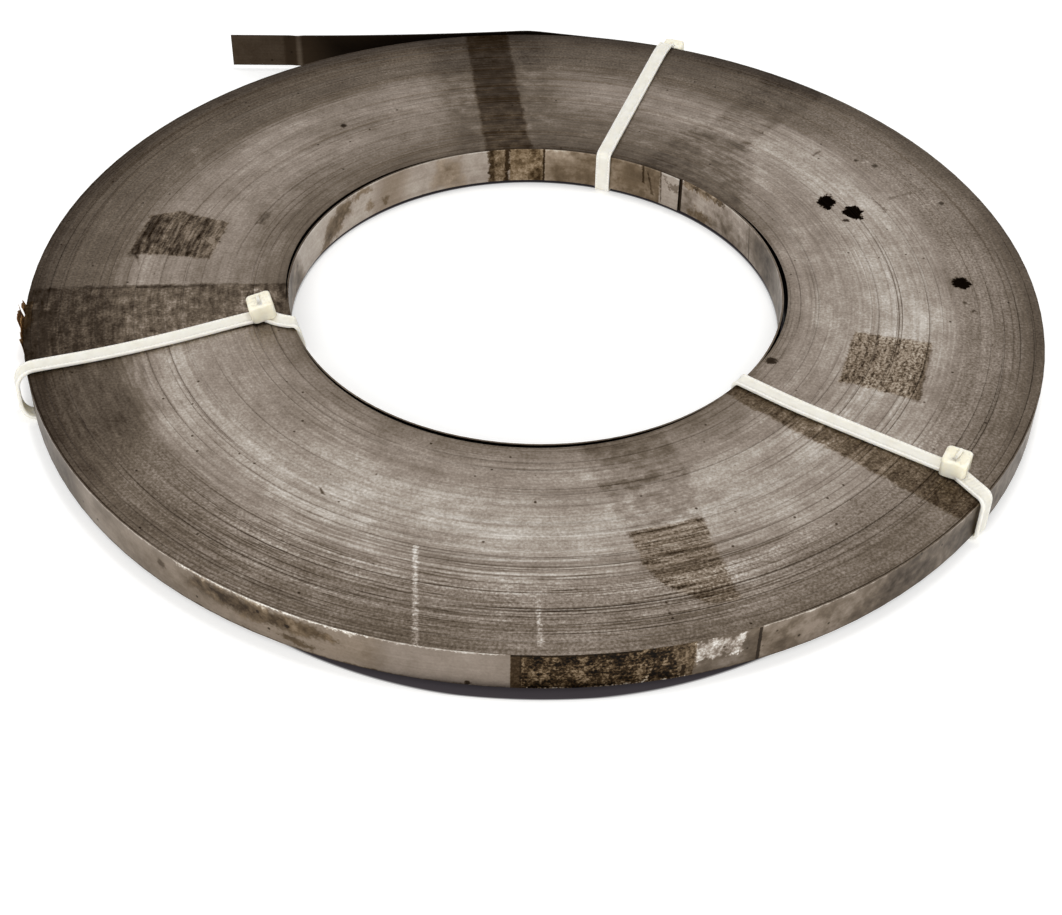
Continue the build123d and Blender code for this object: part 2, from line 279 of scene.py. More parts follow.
endStains = [  # corners and middles as angle in degrees, radius in mm
    patch("back band", [(100.3, 158), (103.6, 75), (91.6, 75), (94.8, 158)], tone=0.58, soft=0.9, rag=1.6,
          fray=0.6, streak=0.2, blotch=0.15, brown=0.35),
    patch("dark middle of the back band", [(99.8, 131), (102, 106), (93, 106), (94.4, 131)], tone=0.84,
          soft=3, rag=3),
    patch("back band by the bore", [(103.2, 92), (103.8, 75), (91.4, 75), (92, 92)], tone=1.3, soft=4,
          rag=3),
    patch("dirt by the back tie", [(86, 102), (73, 104), (60, 102), (58, 75), (86, 75)], tone=0.86,
          soft=5, rag=5, smear=0.2),
    # clean steel with painted sheen, by the bore, at the front and on the right
    patch("clean stretch by the bore, with painted sheen", [(-34, 94), (-7, 97), (20, 94), (20, 75), (-34, 75)], tone=1.09,
          soft=5, rag=5),
    patch("clean front stretch, with painted sheen", [(-52, 152), (-90, 159), (-128, 152), (-128, 98), (-52, 98)],
          tone=1.05, soft=8, rag=6),
    dot("clean stretch on the right, with painted sheen", (-7, 110), 13, tone=1.09, soft=8, rag=6),
    dot("film by the back tie", (85, 116), 9, tone=0.88, soft=8, rag=6),
    dot("film on the far left", (124, 119), 14, tone=0.94, soft=8, rag=6),
    # clean steel with painted sheen at the front rim
    patch("clean front rim, with painted sheen", [(-64, 158), (-66, 132), (-92, 132), (-94, 158)], tone=1.08,
          soft=5, rag=5),
    patch("halo of the back band", [(106, 158), (111, 75), (84, 75), (90, 158)], tone=0.8, soft=6, rag=6,
          blotch=0.15, smear=0.15),
    patch("back right band", [(57.6, 158), (57.8, 104), (48.4, 104), (48.6, 158)], tone=0.86, soft=1.6,
          rag=2.4, fray=0.8, streak=0.15, blotch=0.15),
    patch("back right smear", [(60, 108), (48, 110), (27, 76), (62, 76)], tone=0.8, soft=3, rag=6,
          fray=1.5, smear=0.3, blotch=0.15),
    patch("left band", [(-162.5, 158), (-163, 75), (-177.3, 75), (-176.4, 158)], tone=0.67, soft=0.6,
          rag=1.0, fray=0.8, grain=0.2, smear=0.4, blotch=0.4, brown=0.12),
    patch("seam of the left band", [(-176.1, 150), (-176.7, 92), (-177.4, 92), (-176.8, 150)], tone=0.72,
          soft=0.5, rag=1.2, fray=0.8, blotch=0.6),
    patch("paper left on the rim", [(-174, 157), (-168.8, 157), (-169.2, 154.4), (-173.4, 153.6)],
          tone=1.25, soft=0.5, rag=1.0, fray=0.8, brown=1.0),
    patch("wiped corner", [(-168, 91.4), (-168.5, 77), (-176, 77), (-175, 91.4)], tone=1.22, soft=0.8,
          rag=1.6, fray=0.6, smear=0.4, blotch=0.3),
    patch("dirt in front of the left tie", [(-140, 158), (-148, 122), (-163, 122), (-163, 158)],
          tone=0.84, soft=5, rag=6, smear=0.3),
    patch("front band", [(-68, 145.4), (-71.4, 144.4), (-75, 135), (-76.3, 127), (-76.5, 114.6),
          (-66.3, 114.6)], tone=0.78, soft=0.8, rag=1.8, fray=1.2, grain=0.4, smear=0.7, streak=0.6,
          brown=0.2),
    patch("torn side of the front band", [(-73.6, 138), (-75.2, 137), (-77, 126), (-77, 114), (-75, 114)],
          tone=0.95, soft=0.8, rag=1.6, fray=1.4, grain=0.5, smear=0.6),
    patch("line across the front band", [(-66, 116.5), (-76.8, 116.3), (-76.8, 115.3), (-66, 115.5)],
          tone=0.72, soft=0.4, fray=0.7),
    patch("front band by the bore", [(-66.3, 115), (-76.5, 115), (-79.2, 90), (-79.9, 75), (-61.6, 75),
          (-63.4, 97)], tone=0.88, soft=1.2, rag=2.4, fray=1.0, smear=0.2, blotch=0.2),
    patch("torn line across the front band", [(-68.6, 96.4), (-78.6, 95.6), (-78.6, 94.4), (-68.6, 95.2)],
          tone=0.78, soft=0.5, rag=1.0, fray=1.0),
    # tape residue beside the right tie, darkened further as painted shadow of its strap
    patch("band and painted shadow by the right tie", [(-37, 158), (-37, 75), (-43.2, 75), (-41.6, 158)], tone=0.66,
          soft=0.8, rag=1.2, fray=1.2, grain=0.3, smear=0.3, blotch=0.3, brown=0.3),
    patch("left patch", [(175.4, 128.6), (166, 128.6), (163.6, 121), (164.2, 103.2), (175.2, 102.8)],
          tone=0.66, soft=0.6, rag=1.4, fray=1.0, grain=0.3, smear=1.2, blotch=0.4, brown=0.2),
    patch("left patch's dark part", [(176.2, 128.8), (166.6, 128.2), (165.2, 121.6), (175, 122.8)],
          tone=0.72, soft=1.2, rag=2.4, fray=1.0, blotch=0.5),
    patch("left patch's tail", [(177.4, 124.8), (175.4, 127.4), (174.8, 126)], tone=0.6, soft=0.6,
          fray=0.8),
    patch("right patch", [(-12.6, 122.6), (-25.6, 124), (-27, 100.4), (-12.8, 99.6)], tone=0.84, soft=0.6,
          rag=1.0, fray=0.9, grain=0.7, smear=0.4, speck=-0.16, brown=0.3),
    patch("right patch's rim", [(-14, 123.2), (-26, 124.4), (-26, 122.4), (-14, 121.6)], tone=0.74,
          soft=0.6, rag=1.2, fray=1.2),
    patch("oil spot", [(28.8, 110.2), (25.8, 110.2), (24.4, 106.9), (23.9, 104.6), (27.1, 104.3),
          (28.3, 106.9)], tone=0.03, soft=0.3, rag=2.2, fray=1.4),
    patch("oil spot", [(23.6, 114.6), (21.9, 115.7), (20.1, 113.2), (20.5, 109.9), (22.7, 108.5),
          (23.9, 111.6)], tone=0.03, soft=0.3, rag=2.0, fray=1.4),
    dot("oil drop", (20.3, 107.6), 1.0, tone=0.3, soft=0.4, rag=0.8, fray=1.0),
    dot("oil spot", (1.8, 133.4), 2.9, tone=0.06, soft=0.5, rag=2.4, fray=1.6),
    dot("oil drop", (-2.6, 133.0), 0.6, tone=0.5, soft=0.4, fray=0.8),
    dot("oil drop", (-4.4, 135.2), 0.6, tone=0.5, soft=0.4, fray=0.8),
    dot("dirt clot", (-27.6, 79.6), 1.7, tone=0.3, soft=0.5, rag=2.0, fray=1.2),
    dot("speck", (127.4, 111.6), 1.1, tone=0.3, soft=0.4, fray=0.9),
    patch("smear", [(162.8, 94.6), (159.4, 96), (158.6, 93.6), (162.4, 91.6)], tone=0.72, soft=1.0,
          rag=2.4, fray=1.4, smear=0.6),
    patch("drawn line", [(23.9, 141), (23.6, 141), (23.2, 127.5), (23.6, 127.5)], tone=0.8, soft=0.4,
          rag=1.4, fray=1.2),
    patch("smudge", [(24.6, 122.6), (21, 123.4), (20.6, 122.2), (24.6, 121.4)], tone=0.74, soft=0.5,
          rag=1.6, fray=1.4),
    dot("scuff", (34.1, 131), 0.8, tone=0.5, soft=0.4, rag=1.0, fray=1.0),
    dot("scuff", (31.6, 134.6), 1.0, tone=0.5, soft=0.4, rag=1.0, fray=1.0),
    dot("rubbed spot", (32.8, 132.8), 1.5, tone=1.14, soft=0.8, rag=1.4, fray=1.0),
    dot("speck", (20.0, 142.4), 0.9, tone=0.5, soft=0.4, fray=0.9),
    patch("nick", [(39.3, 125), (39.0, 125), (38.8, 121), (39.1, 121)], tone=0.6, soft=0.4, fray=0.9),
    dot("rubbed spot", (149, 136), 2.2, tone=1.16, soft=1.2, rag=2.4, fray=1.6),
    dot("rubbed spot", (151, 131), 1.6, tone=1.12, soft=1.0, rag=2.4, fray=1.6),
    patch("nick", [(-119.4, 113.6), (-119.9, 113.8), (-120.9, 112.2), (-120.5, 112.0)], tone=0.5,
          soft=0.3, fray=0.4),
    patch("residue of the tape", [(-169, 157), (-169.4, 153.4), (-174, 153.6), (-174.2, 157)], tone=0.95,
          soft=0.5, rag=1.2, fray=0.8, blotch=0.6, brown=0.7),
    patch("paper fluff", [(-172.4, 154), (-172.6, 152.4), (-173.8, 152), (-173.6, 154)], tone=1.7,
          soft=0.4, rag=1.0, fray=0.8, blotch=1.0),
    patch("paper fluff", [(-172.2, 149.8), (-172.4, 148.4), (-173.8, 148.6), (-173.6, 150)], tone=1.4,
          soft=0.5, rag=1.2, fray=0.9, blotch=0.9),
    patch("light scratch", [(-99.8, 158), (-100.4, 158), (-104.6, 121.5), (-104.0, 121.5)], tone=1.34,
          soft=0.4, fray=0.9, streak=0.3, grain=0.3),
    patch("light scratch", [(-88.4, 153), (-89, 153), (-89.2, 137), (-88.7, 137)], tone=1.3, soft=0.4,
          fray=0.9, streak=0.3, grain=0.3),
]


def slitEdgeSteel():
    # cold-rolled strip, slit and tight-wound: dull metal with fine arcs, oil film and the marks of old tape,
    # with painted sheen and shade
    look = edgeLook
    material, tree, shader = startMaterial("slit_steel_edge", {"Metallic": 1.0})
    place = put(tree, "TexCoord", {}, "Object")
    spot = put(tree, "VectorMath", {0: place, 1: flatInMm, 2: (0, 0, 1)}, operation="MULTIPLY_ADD")
    flat = put(tree, "VectorMath", {0: place, 1: flatInMm}, operation="MULTIPLY")
    radius = put(tree, "VectorMath", {0: flat}, "Value", operation="LENGTH")
    around = put(tree, "VectorMath", {0: flat}, operation="NORMALIZE")
    middleRadius = (coil["boreRadius"] + coil["outerRadius"]) / 2
    places = {}
    for key, (length, width, detail) in look["arcs"].items():
        turns = middleRadius / length
        rise = put(tree, "Math", {0: radius, 1: 1 / width}, operation="MULTIPLY")
        rise = put(tree, "CombineXYZ", {2: rise})
        arc = put(tree, "VectorMath", {0: around, 1: (turns, turns, 0), 2: rise}, operation="MULTIPLY_ADD")
        places[key] = (arc, 1.0, detail)
    for key, (size, detail) in look["spots"].items():
        places[key] = (flat, 1 / size, detail)
    noises = steelNoises(tree, look, places)
    start, whole = look["fleckSpan"]
    noises["speck"] = put(tree, "MapRange", {0: noises["fleck"], 1: start, 2: whole, 3: 0.0, 4: 1.0})

    tone = put(tree, "Attribute", {}, "Fac", attribute_name="shade")
    scuff = put(tree, "Attribute", {}, "Fac", attribute_name="scuff")
    shifts = [(noises[key], 2 * depth) for key, depth in look["depths"].items()]
    (inDepth, outDepth), (inBorder, outBorder) = look["grainDepths"], look["grainBorder"]
    grainDepth = put(tree, "MapRange", {0: radius, 1: inBorder, 2: outBorder, 3: inDepth, 4: outDepth})
    shifts.append((put(tree, "Math", {0: noises["grain"], 1: grainDepth}, operation="MULTIPLY"), 2.0))
    shifts.append((put(tree, "Attribute", {}, "Fac", attribute_name="turnTone"), look["turnDepth"]))
    shifts.append((put(tree, "Attribute", {}, "Fac", attribute_name="gapDirt"), -look["gapDark"]))
    start, whole = look["lineSpan"]
    line = put(tree, "MapRange", {0: noises["streak"], 1: start, 2: whole, 3: 0.0, 4: 1.0})
    shifts.append((put(tree, "Math", {0: line, 1: scuff}, operation="MULTIPLY"), -look["lineDark"]))
    tone = shiftedTone(tree, tone, shifts)
    cells = put(tree, "TexVoronoi", {"Vector": flat, "Scale": 1 / look["speckCell"]})
    speckEdge = look["speckSize"] / look["speckCell"]
    speck = put(tree, "MapRange", {0: cells, 1: 0.5 * speckEdge, 2: speckEdge, 3: look["speckTone"], 4: 1.0})
    tone = put(tree, "Math", {0: tone, 1: speck}, operation="MULTIPLY")
    tone, colour = stainColour(tree, tone, spot, noises, endStains,
                               lambda angle, radius: polar(radius, angle))
    oil, steel = look["mirrorTones"]
    mirror = put(tree, "MapRange", {0: tone, 1: oil, 2: steel, 3: 0.0, 4: 1.0})
    tree.links.new(mirror, shader.inputs["Specular Tint"])
    finishSteel(tree, shader, look, tone, colour, noises["grain"])
    return material


# Steel: the strip's broad face, on the outer wall, the bore and the tail
faceLook = {
    "rollLength": 30.0, "rollWidth": 0.9, "rollDetail": 4.0,  # faint lines along the strip, mm
    "spots": {"rag": (3.4, 3.0), "fray": (0.9, 2.0), "grain": (0.7, 3.0), "blotch": (3.4, 3.0),
              "haze": (16.0, 4.0)},  # noises: size, detail
    "depths": {"streak": 0.1, "haze": 0.16, "grain": 0.1, "blotch": 0.1},
    "pitCell": 6.0, "pitSize": 0.55, "pitTone": 0.45,  # mm, mm, share of the tone
    "noiseRoughness": 0.6, "bumpStrength": 0.25, "bumpHeight": 0.06,
    "roughTones": (0.2, 0.7), "roughness": (0.52, 0.34),  # of dirt and of bare steel
}
outerStains = [  # corners as angle in degrees, height in mm
    # painted dark reflection on the left side of the wall, with old dirt
    band("darker side of the wall", (-190, -143), tone=0.58, soft=8, rag=4, blotch=0.3),
    band("darker side of the wall", (190, 168), tone=0.58, soft=12, rag=4, blotch=0.3),
    # painted shade on the wall in the wedge between the tail and the coil
    band("painted shade by the tail", (84, 77), tone=0.06, soft=7, rag=2),
    # a darker stretch on the right side of the wall
    band("darker side of the wall", (-55, -24), tone=0.72, soft=10, rag=4, blotch=0.3),
    band("brown film", (-150, -104), tone=0.92, soft=5, rag=4, haze=0.4, brown=0.2),
    band("brown film", (-68.6, -22), tone=0.8, soft=4, rag=2, haze=0.5, blotch=0.3, brown=0.15),
    patch("brown smudge", [(-125, 8), (-117, 6), (-107.6, 8.4), (-110, 12.2), (-124, 13)], tone=0.66,
          soft=1.4, rag=4, fray=1.6, blotch=0.8, brown=0.5),
    dot("brown spot", (-128.6, 9), 1.0, tone=0.6, soft=1.0, rag=3, fray=1.4, brown=0.5),
    patch("brown spot", [(-114.6, 4.4), (-111, 3), (-110.4, 4), (-113.6, 5.4)], tone=0.62, soft=0.8,
          rag=2.4, fray=1.4, brown=0.5),
    dot("speck", (-116.4, 10.2), 0.5, tone=0.3, soft=0.3, fray=0.5),
    dot("speck", (-113.2, 8.8), 0.6, tone=0.3, soft=0.3, fray=0.5),
    band("edge of the dirt", (-91.5, -90.5), tone=0.46, soft=0.15, fray=0.15, grain=0.3, brown=0.5),
    patch("dark dirt", [(-90.6, 0), (-75.4, 0), (-76.6, 15), (-90.6, 15)], tone=0.38, soft=0.4, rag=1.2,
          fray=0.9, grain=1.2, blotch=1.2, streak=0.5, brown=0.6),
    band("torn side of the dirt", (-76.8, -74.2), tone=0.7, soft=0.5, rag=1.6, fray=1.0, grain=0.7,
         blotch=0.8, brown=0.5),
    band("grey film", (-74.4, -67.6), tone=0.8, soft=0.4, fray=0.4, blotch=0.25),
    band("pale scuff", (-74.0, -69.3), heights=(6.4, 13), tone=1.62, soft=0.5, rag=2.6, fray=1.6,
         grain=0.9, blotch=0.9),
    patch("crack", [(-75.5, 1), (-75.1, 1), (-75.0, 6), (-75.4, 6)], tone=0.35, soft=0.15, rag=0.5,
          fray=0.4),
    patch("scratch in the dirt", [(-79.0, 2.4), (-78.7, 2.4), (-78.2, 6.4), (-78.5, 6.4)], tone=2.0,
          soft=0.2, fray=0.4),
    band("line", (-67.85, -67.5), heights=(1, 13.6), tone=0.4, soft=0.15, fray=0.25),
    band("cleaner stretch", (-104, -91.5), tone=1.0, soft=3, rag=2, fray=0.5),
    dot("nick", (-95.4, 2.3), 0.7, tone=0.35, soft=0.3, rag=1.0, fray=0.6),
    # painted highlight along the top edge, on a worn and chipped burr
    band("worn burr with painted highlight", (-152, -92), heights=(13.4, 15), tone=1.3, soft=0.15, rag=0.8, fray=0.8, grain=0.4),
    band("chipped burr with painted highlight", (-126, -105), heights=(12.9, 15), tone=1.3, soft=0.2, rag=2.4, fray=1.6,
         grain=0.5),
    band("shadow under the rim", (-91.4, -79.4), heights=(13.3, 15), tone=0.3, soft=0.2, rag=0.5,
         fray=0.4),
    # painted highlight along the top edge, on a burr
    band("right burr with painted highlight", (-67.4, -38), heights=(13.5, 15), tone=1.35, soft=0.15, rag=0.6, fray=0.5,
         grain=0.3),
    # painted highlight along the lower edge of the wall
    band("painted highlight on the lower burr", (-90, -75), heights=(1, 1.95), tone=2.4, soft=0.15, rag=0.3, fray=0.4),
    # darker towards the bottom of the wall
    band("darker foot of the wall", (-156, -92), heights=(0, 1.8), tone=0.6, soft=0.3, rag=0.6, fray=0.5),
    band("darker foot of the wall", (-74, -30), heights=(0, 1.8), tone=0.6, soft=0.3, rag=0.6, fray=0.5),
]
boreStains = [
    patch("brown end", [(192, 0), (167, 0), (172, 15), (192, 15)], tone=0.58, soft=3, rag=5, fray=1.0,
          haze=0.4, blotch=0.3, brown=0.3),
    band("brown end", (-185, -160), tone=0.58, soft=3),
    patch("brown blotch", [(156.8, 1.8), (153.6, 9), (147.4, 13), (143.6, 12.2), (144.2, 8.4), (148.8, 4),
          (154, 1.2)], tone=0.55, soft=1.8, rag=5, fray=1.2, blotch=0.5, brown=0.4),
    dot("brown mark", (137, 5.6), 0.8, tone=0.74, soft=1.6, rag=5, fray=1.4, brown=0.4),
    dot("brown mark", (132.2, 4.4), 0.6, tone=0.72, soft=1.2, rag=5, fray=1.4, brown=0.4),
    patch("brown mark", [(144, 13), (137, 13.8), (137, 12.2), (143, 11)], tone=0.72, soft=0.9, rag=3,
          fray=1.4, brown=0.4),
    patch("soft shade", [(135.5, 0), (127, 0), (125, 15), (133, 15)], tone=0.84, soft=4, rag=4,
          brown=0.2),
    patch("soft shade", [(117.6, 3), (110, 2), (110, 13), (116.4, 13)], tone=0.8, soft=2.6, rag=5,
          blotch=0.3, brown=0.3),
    band("residue", (97.4, 102.6), tone=0.7, soft=0.6, rag=2.0, fray=1.0, grain=0.3, blotch=0.7,
         brown=0.5),
    patch("residue edge", [(101.2, 0), (102.6, 0), (102.8, 15), (101.4, 15)], tone=0.48, soft=0.5,
          rag=1.6, fray=0.9, blotch=0.3),
    patch("residue edge", [(97.4, 0), (98.6, 0), (98.4, 15), (97.2, 15)], tone=0.42, soft=0.4, rag=1.6,
          fray=0.8),
    band("brown film", (88.4, 97.4), tone=0.76, soft=0.5, rag=1, fray=0.6, grain=0.3, blotch=0.4,
         brown=0.6),
    band("spotted side of the film", (88.6, 92.4), tone=0.8, soft=0.8, rag=2.4, fray=1.2, blotch=0.7),
    band("line", (88.2, 88.7), tone=0.4, soft=0.15, fray=0.3),
    band("film by the back tie", (57, 88.3), tone=0.76, soft=0.4, fray=0.4, haze=0.5, blotch=0.25,
         brown=0.35),
    dot("cloud by the back tie", (64.2, 8.4), 3.4, tone=0.74, soft=2.4, rag=4),
    band("cloud by the back tie", (87, 76), heights=(4, 9), tone=0.86, soft=2.4, rag=4),
    patch("run", [(61.5, 7.6), (62.0, 7.6), (62.4, 15), (61.7, 15)], tone=0.5, soft=0.3, rag=0.8,
          fray=0.6),
    patch("run", [(58.8, 4), (59.3, 4), (60.9, 12.4), (60.4, 12.4)], tone=0.6, soft=0.3, rag=0.8,
          fray=0.6),
    patch("run", [(56.2, 2), (56.6, 2), (57.1, 14), (56.7, 14)], tone=0.55, soft=0.25, rag=0.6, fray=0.5),
    patch("specks", [(56, 10), (51.6, 8.6), (51.6, 10.4), (56, 12)], tone=0.7, soft=0.5, rag=3, fray=2.0),
    band("gap at the inner end", (51.3, 50.5), tone=0.25, soft=0.1),
    band("dirty side", (50.7, -38), tone=0.86, soft=0.3, fray=0.3, haze=0.6, blotch=0.3),
    patch("dark end of the side", [(20, 0), (-20, 0), (-20, 15), (24, 15)], tone=0.76, soft=7, rag=3),
    band("clots under the rim", (50, 36), heights=(12, 15), tone=0.62, soft=0.6, rag=3, fray=2.0,
         blotch=0.8, brown=0.4),
    patch("brown blotch", [(48, 3.4), (43, 1.4), (40, 2.4), (42, 5), (46, 5.4)], tone=0.6, soft=1.4,
          rag=5, fray=1.6, brown=0.4),
    patch("upright line", [(25.9, 14.6), (25.5, 14.6), (24.0, 1), (24.4, 1)], tone=0.66, soft=0.3,
          rag=0.6),
    # painted highlight along the bore's top edge, on a burr
    band("light burr with painted highlight", (176, -10), heights=(13.55, 15), tone=1.14, soft=0.2, rag=0.5, fray=0.4),
]
tailStains = [
    # painted dark reflection on the tail's face, with its oil
    band("oil film and painted dark reflection", (118.6, 60), tone=0.1, soft=11),
    # painted highlight along the crease
    band("painted glint on the crease", (121.2, 120.7), tone=1.5, soft=0.6),
    band("shade by the crease", (122.4, 121.4), tone=0.8, soft=0.7),
    # painted shade on the faces inside the loose gap
    band("painted shade in the loose gap", (185, 130), tone=0.1, soft=1),
    band("painted shade in the loose gap", (60, -185), tone=0.1, soft=1),
]


def rolledSteel(name, level, wallRadius, stains):
    # cold-rolled face: smooth satin metal with faint lines along the strip, brown smudges, pits and oil film,
    # with painted highlights, shade and dark reflection
    look = faceLook
    material, tree, shader = startMaterial(name, {"Metallic": 1.0})
    place = put(tree, "TexCoord", {}, "Object")
    solid = put(tree, "VectorMath", {0: place, 1: inMm}, operation="MULTIPLY")
    parts = put(tree, "SeparateXYZ", {0: solid}).node.outputs
    angle = put(tree, "Math", {0: parts["Y"], 1: parts["X"]}, operation="ARCTAN2")
    arc = put(tree, "Math", {0: angle, 1: wallRadius}, operation="MULTIPLY")
    spot = put(tree, "CombineXYZ", {0: arc, 1: parts["Z"], 2: 1.0})
    squeeze = (1 / look["rollLength"], 1 / look["rollLength"], 1 / look["rollWidth"])
    rolled = put(tree, "VectorMath", {0: solid, 1: squeeze}, operation="MULTIPLY")
    places = {"streak": (rolled, 1.0, look["rollDetail"])}
    for key, (size, detail) in look["spots"].items():
        places[key] = (solid, 1 / size, detail)
    noises = steelNoises(tree, look, places)
    cells = put(tree, "TexVoronoi", {"Vector": solid, "Scale": 1 / look["pitCell"]})
    pitEdge = look["pitSize"] / look["pitCell"]
    pitTone = look["pitTone"] * level
    tone = put(tree, "MapRange", {0: cells, 1: 0.5 * pitEdge, 2: pitEdge, 3: pitTone, 4: level})
    tone = shiftedTone(tree, tone, [(noises[key], 2 * depth) for key, depth in look["depths"].items()])
    tone, colour = stainColour(tree, tone, spot, noises, stains,
                               lambda angle, height: (math.radians(angle) * wallRadius, height))
    finishSteel(tree, shader, look, tone, colour, noises["blotch"])
    return material


# The coil: one strip wound as a true spiral, its innermost turn loose, its outer end sprung off as a tail
coil = {
    "turns": 155, "perTurn": 124, "endSteps": 10,  # the tail leaves ten steps past the inner end's angle
    "boreRadius": 76.2, "outerRadius": 156.0, "tailLeave": 80.3,
    "loose": [(112, 190, 1.2), (205, 315, 1.3), (329, 398, 1.5)], "looseTurns": 12,  # angles, widest gap, mm
    "touchGap": 0.01,  # a hair's breadth where the first turn touches the next, mm
    # relief of the turns in mm: mean and greatest depth below the flat end, waves, closed and open joints
    "sunk": 0.06, "deepest": 0.3, "wave": 0.05, "bundleWave": 0.05, "groove": 0.05, "openGroove": 0.16,
    "waveKnots": 3, "openKnots": 9, "toneKnots": 24, "bundleTurns": 7,  # knots in a turn, turns in a bundle
    "openFrom": 0.5, "openSpan": 1.6,  # random spread past which a joint opens, and over which it opens fully
    "turnTone": 0.7,  # weight of the tone that changes from turn to turn
    "leastTone": 0.25, "leastDirt": 0.15, "dirtFull": 0.6,  # off the scuffed part; opening full of dirt
    "rimJoints": [(-166, -126, 8), (-70, -16, 10)], "rimDirt": 2.0,  # angles and fade of the outermost joint
    "levels": (0.0, 0.03, 0.35, 0.65, 0.97, 1.0),  # shares of the strip's width on its broad faces
    "crease": 50,  # degrees up to which faces are shaded smooth
}
tail = {"firstRun": 31.0, "middleRun": 87.0, "endRun": 24.5, "bendTurn": 14.8, "creaseTurn": -3.5, "bow": 1.1,
        "bendLength": 6.0, "creaseLength": 1.6, "creaseBump": 0.35, "steps": 120}


# tone of the slit edges from the bore to the rim: radius in mm, level
edgeZones = [(76.2, 0.34), (78, 0.42), (80, 0.465), (88, 0.545), (96, 0.575), (104, 0.605), (112, 0.63),
             (120, 0.625), (128, 0.595), (130.5, 0.56), (133, 0.505), (144, 0.475), (150, 0.455),
             (154, 0.46), (155.4, 0.44), (156, 0.36)]
# first and last angle, fade and loss of tone on the back and left, as old dirt and as painted shade where the
# front's sheen is missing; borders as radii
sideDirtAndShade = {"inner": (42, 205, 28, 0.14), "outer": (26, 238, 40, 0.24), "rim": (-45, 238, 45, 0.23),
           "turnover": (124, 131), "rimBorder": (146, 155)}
# where the turns show most: angles and fade, radii, shares, and what the rim loses
scuffs = {"front": (-154, -38, 42), "border": (112, 138), "inner": 0.1, "least": 0.12,
          "rim": (147, 153, 0.55)}


def window(angle, start, end, fade):  # 1 between two angles, fading to 0 at both ends
    share = (angle - start) % 360
    return smoothStep(0, fade, share) * smoothStep(end - start, end - start - fade, share)


def endShade(radius, angle):  # zones by radius, darker on the back and left from old dirt and painted shade, most so at the rim
    level = np.interp(radius, *np.transpose(edgeZones))
    outside = smoothStep(*sideDirtAndShade["turnover"], radius)
    shares = {"inner": 1 - outside, "outer": outside, "rim": smoothStep(*sideDirtAndShade["rimBorder"], radius)}
    loss = 0
    for key, share in shares.items():
        *span, depth = sideDirtAndShade[key]
        loss = loss + depth * window(angle, *span) * share
    return level * (1 - loss)


def scuffShare(radius, angle):  # how plainly the turns show: most on the outer part of the front
    *rimBorder, rimLoss = scuffs["rim"]
    front = window(angle, *scuffs["front"]) * (1 - rimLoss * smoothStep(*rimBorder, radius))
    outward = scuffs["inner"] + (1 - scuffs["inner"]) * smoothStep(*scuffs["border"], radius)
    return scuffs["least"] + front * outward


def looseGap(angle):  # parabola over each loose stretch
    gap = np.zeros_like(angle)
    for start, end, widest in coil["loose"]:
        share = ((angle - start) % 360) / (end - start)
        gap = np.maximum(gap, np.where(share < 1, 4 * widest * share * (1 - share), 0))
    return gap


